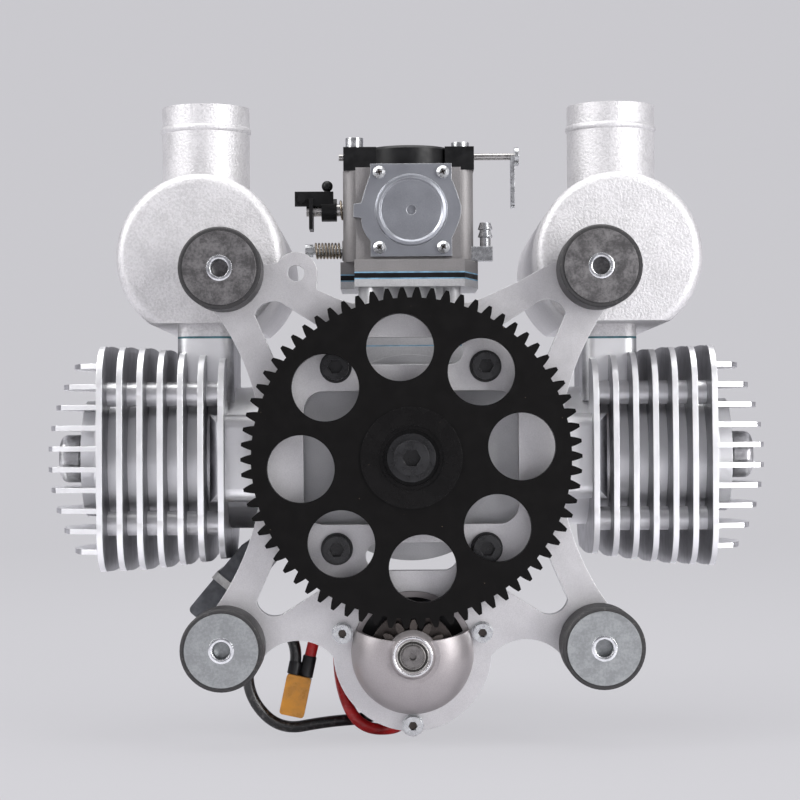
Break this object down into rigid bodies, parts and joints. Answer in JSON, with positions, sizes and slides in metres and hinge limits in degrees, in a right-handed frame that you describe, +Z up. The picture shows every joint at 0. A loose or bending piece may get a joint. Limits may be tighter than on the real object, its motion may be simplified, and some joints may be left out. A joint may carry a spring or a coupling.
{
  "type": "flat twin aircraft engine",
  "caption": "Flat twin two-stroke engine with a four-arm rear mount plate, rubber isolators, geared electric starter, downdraft carburettor and canister mufflers.",
  "frame": {"origin": "on the crank axis, in the plane of the four isolators' mounting faces", "axes": "+Y forward along the crank axis to the propeller, +X to the right seen from the firewall, +Z up to the carburettor"},
  "size_m": [0.28, 0.1924, 0.2446],
  "materials": {
    "amber_plastic": "moulded",
    "bearing_steel": "ground",
    "black_anodised": "satin black anodised",
    "black_plastic": "moulded",
    "black_steel": "black oxide",
    "cap_metal": "pressed cap",
    "carb_alloy": "die cast",
    "cast_aluminium": "bead blasted casting",
    "cover_metal": "pressed cover",
    "dark_steel": "dark oiled steel",
    "fin_aluminium": "cast, bright rims",
    "gasket_blue": "pressed fibre",
    "gasket_teal": "pressed fibre",
    "ground_steel": "ground",
    "lead_black": "silicone",
    "lead_red": "silicone",
    "module_grey": "moulded",
    "motor_paint": "satin paint",
    "muffler_aluminium": "sandblasted white",
    "piston_alloy": "turned",
    "plate_aluminium": "fine sandblasted",
    "rubber_black": "matt black rubber",
    "spring_steel": "drawn wire",
    "strap_clear": "nylon",
    "zinc": "zinc plated"
  },
  "bodies": {
    "engine": {"bearings": "bearing_steel", "carburettor_body": "carb_alloy", "carburettor_screws": "zinc", "choke_housing": "black_plastic", "conrod_shanks": "ground_steel", "control_springs": "spring_steel", "crankcase_front": "cast_aluminium", "crankcase_gasket": "gasket_teal", "crankcase_rear": "cast_aluminium", "cylinder_gaskets": "gasket_teal", "cylinder_left": "fin_aluminium", "cylinder_right": "fin_aluminium", "cylinder_screws": "black_steel", "fuel_nipple": "zinc", "ignition_module": "module_grey", "insulator_block": "black_plastic", "intake_gaskets": "gasket_blue", "intake_manifold": "cast_aluminium", "isolator_discs": "zinc", "isolator_rubbers": "rubber_black", "isolator_studs": "zinc", "lead_connector": "amber_plastic", "metering_cover": "cover_metal", "module_strap": "strap_clear", "mount_plate": "plate_aluminium", "muffler_left": "muffler_aluminium", "muffler_right": "muffler_aluminium", "nose_screws": "zinc", "piston_rings": "ground_steel", "pistons": "piston_alloy", "plate_screws": "black_steel", "plug_caps": "cap_metal", "reed_block": "black_plastic", "shaft_seals": "rubber_black", "spark_plugs": "zinc", "starter_end_bell": "black_anodised", "starter_gearbox": "black_anodised", "starter_lead_black": "lead_black", "starter_lead_red": "lead_red", "starter_motor_can": "motor_paint", "starter_nose": "cast_aluminium", "wrist_pins": "ground_steel"},
    "crank": {"starter_gear": "black_anodised", "gear_bolt": "black_steel", "crankshaft_rear": "ground_steel", "crankshaft_middle": "ground_steel", "crankshaft_front": "ground_steel", "crank_pins": "ground_steel", "conrod_big_ends": "ground_steel", "propeller_hub": "black_anodised", "propeller_plate": "black_anodised", "propeller_bolts": "black_steel"},
    "starter": {"starter_pinion": "dark_steel", "clutch_disc": "dark_steel", "starter_rotor": "bearing_steel"},
    "throttle": {"throttle_shaft": "ground_steel", "throttle_lever": "black_plastic"},
    "choke": {"choke_shaft": "ground_steel", "choke_lever": "zinc"},
    "idle": {"idle_screw": "zinc"}
  },
  "joints": [
    {"name": "crank_turn", "type": "hinge", "parent": "engine", "child": "crank", "pos_m": [0, 0, 0], "axis": [0, 1, 0], "continuous": true},
    {"name": "pinion_turn", "type": "hinge", "parent": "engine", "child": "starter", "pos_m": [0, 0, -0.07262], "axis": [0, 1, 0], "continuous": true},
    {"name": "throttle_turn", "type": "hinge", "parent": "engine", "child": "throttle", "pos_m": [0, 0.068, 0.0977], "axis": [1, 0, 0], "range_deg": [0, 70], "stiffness_Nm_per_rad": 0.02, "springref_deg": -28.65},
    {"name": "choke_turn", "type": "hinge", "parent": "engine", "child": "choke", "pos_m": [0, 0.068, 0.1186], "axis": [1, 0, 0], "range_deg": [0, 75]},
    {"name": "idle_turn", "type": "hinge", "parent": "engine", "child": "idle", "pos_m": [-0.03, 0.068, 0.0816], "axis": [1, 0, 0], "range_deg": [-180, 180]}
  ],
  "couplings": [
    {"joint": "pinion_turn", "follows": "crank_turn", "ratio": -5.3846}
  ]
}
